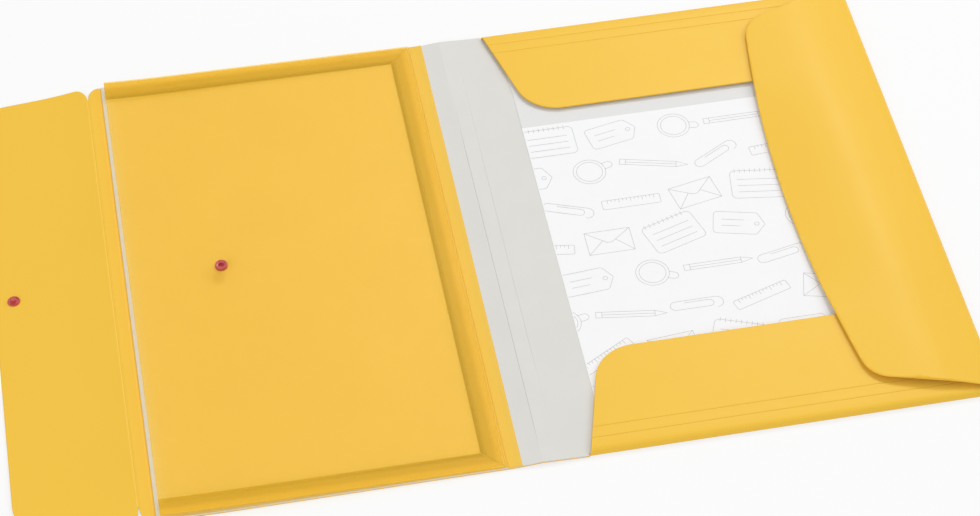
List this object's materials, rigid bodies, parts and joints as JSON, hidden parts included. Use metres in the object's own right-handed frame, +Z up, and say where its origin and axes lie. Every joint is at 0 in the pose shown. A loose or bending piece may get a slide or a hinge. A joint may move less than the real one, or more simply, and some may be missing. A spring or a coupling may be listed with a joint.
{
  "type": "three-flap folder",
  "caption": "Document folder with a lined cover, scored spine, folding flaps, an inner film pocket and a snap-closed pocket flap.",
  "frame": {"origin": "on the table under the middle of the open folder's box", "axes": "+X from the front cover across the spine to the back panel, +Y up the page, +Z up from the table towards the inside of the folder"},
  "size_m": [0.5382, 0.33, 0.0078],
  "materials": {
    "shell_yellow": "satin embossed polypropylene sheet",
    "lining_grey": "matt light grey laminate",
    "film_yellow": "frosted translucent polypropylene film",
    "snap_red": "moulded acetal, semi-gloss",
    "sheet_white": "uncoated white paper"
  },
  "bodies": {
    "back": {"back_panel": "shell_yellow", "back_lining": "lining_grey", "insert_sheet": "sheet_white"},
    "spine": {"spine_panel": "shell_yellow", "spine_lining": "lining_grey"},
    "front_cover": {"front_panel": "shell_yellow", "front_lining": "lining_grey", "pocket_film": "film_yellow", "pocket_bellows_bottom": "film_yellow", "pocket_bellows_top": "film_yellow", "pocket_bellows_spine": "film_yellow", "pocket_flange": "film_yellow", "snap_eyelet": "snap_red", "snap_socket": "snap_red"},
    "closure_strip": {"closure_strip": "shell_yellow"},
    "closure_flap": {"closure_flap": "shell_yellow", "snap_cap": "snap_red", "snap_stud": "snap_red"},
    "side_fold_strip": {"side_fold_strip": "shell_yellow"},
    "side_flap": {"side_flap": "shell_yellow"},
    "top_fold_strip": {"top_fold_strip": "shell_yellow"},
    "top_flap": {"top_flap": "shell_yellow"},
    "bottom_fold_strip": {"bottom_fold_strip": "shell_yellow"},
    "bottom_flap": {"bottom_flap": "shell_yellow"}
  },
  "joints": [
    {"name": "spine_fold", "type": "hinge", "parent": "back", "child": "spine", "pos_m": [0.02185, 0, 0.0012], "axis": [0, 1, 0], "range_deg": [0, 85]},
    {"name": "cover_fold", "type": "hinge", "parent": "spine", "child": "front_cover", "pos_m": [0.01325, 0, 0.0012], "axis": [0, 1, 0], "range_deg": [0, 85]},
    {"name": "closure_strip_fold", "type": "hinge", "parent": "front_cover", "child": "closure_strip", "pos_m": [-0.19475, 0, 0.0008], "axis": [0, 1, 0], "range_deg": [0, 90]},
    {"name": "closure_flap_fold", "type": "hinge", "parent": "closure_strip", "child": "closure_flap", "pos_m": [-0.20305, 0, 0.0008], "axis": [0, 1, 0], "range_deg": [0, 90]},
    {"name": "side_strip_fold", "type": "hinge", "parent": "back", "child": "side_fold_strip", "pos_m": [0.26825, 0, 0.0008], "axis": [0, 1, 0], "range_deg": [0, 90]},
    {"name": "side_flap_fold", "type": "hinge", "parent": "side_fold_strip", "child": "side_flap", "pos_m": [0.26825, 0, 0.0068], "axis": [0, 1, 0], "range_deg": [0, 90]},
    {"name": "top_strip_fold", "type": "hinge", "parent": "back", "child": "top_fold_strip", "pos_m": [0.15325, 0.1637, 0.0008], "axis": [-1, 0, 0], "range_deg": [0, 90]},
    {"name": "top_flap_fold", "type": "hinge", "parent": "top_fold_strip", "child": "top_flap", "pos_m": [0.15325, 0.1637, 0.0057], "axis": [-1, 0, 0], "range_deg": [0, 90]},
    {"name": "bottom_strip_fold", "type": "hinge", "parent": "back", "child": "bottom_fold_strip", "pos_m": [0.15325, -0.1637, 0.0008], "axis": [1, 0, 0], "range_deg": [0, 90]},
    {"name": "bottom_flap_fold", "type": "hinge", "parent": "bottom_fold_strip", "child": "bottom_flap", "pos_m": [0.15325, -0.1637, 0.0057], "axis": [1, 0, 0], "range_deg": [0, 90]}
  ],
  "couplings": [
    {"joint": "closure_flap_fold", "follows": "closure_strip_fold", "ratio": 1},
    {"joint": "side_flap_fold", "follows": "side_strip_fold", "ratio": 1},
    {"joint": "top_strip_fold", "follows": "side_strip_fold", "ratio": 1},
    {"joint": "top_flap_fold", "follows": "side_strip_fold", "ratio": 1},
    {"joint": "bottom_strip_fold", "follows": "side_strip_fold", "ratio": 1},
    {"joint": "bottom_flap_fold", "follows": "side_strip_fold", "ratio": 1}
  ]
}
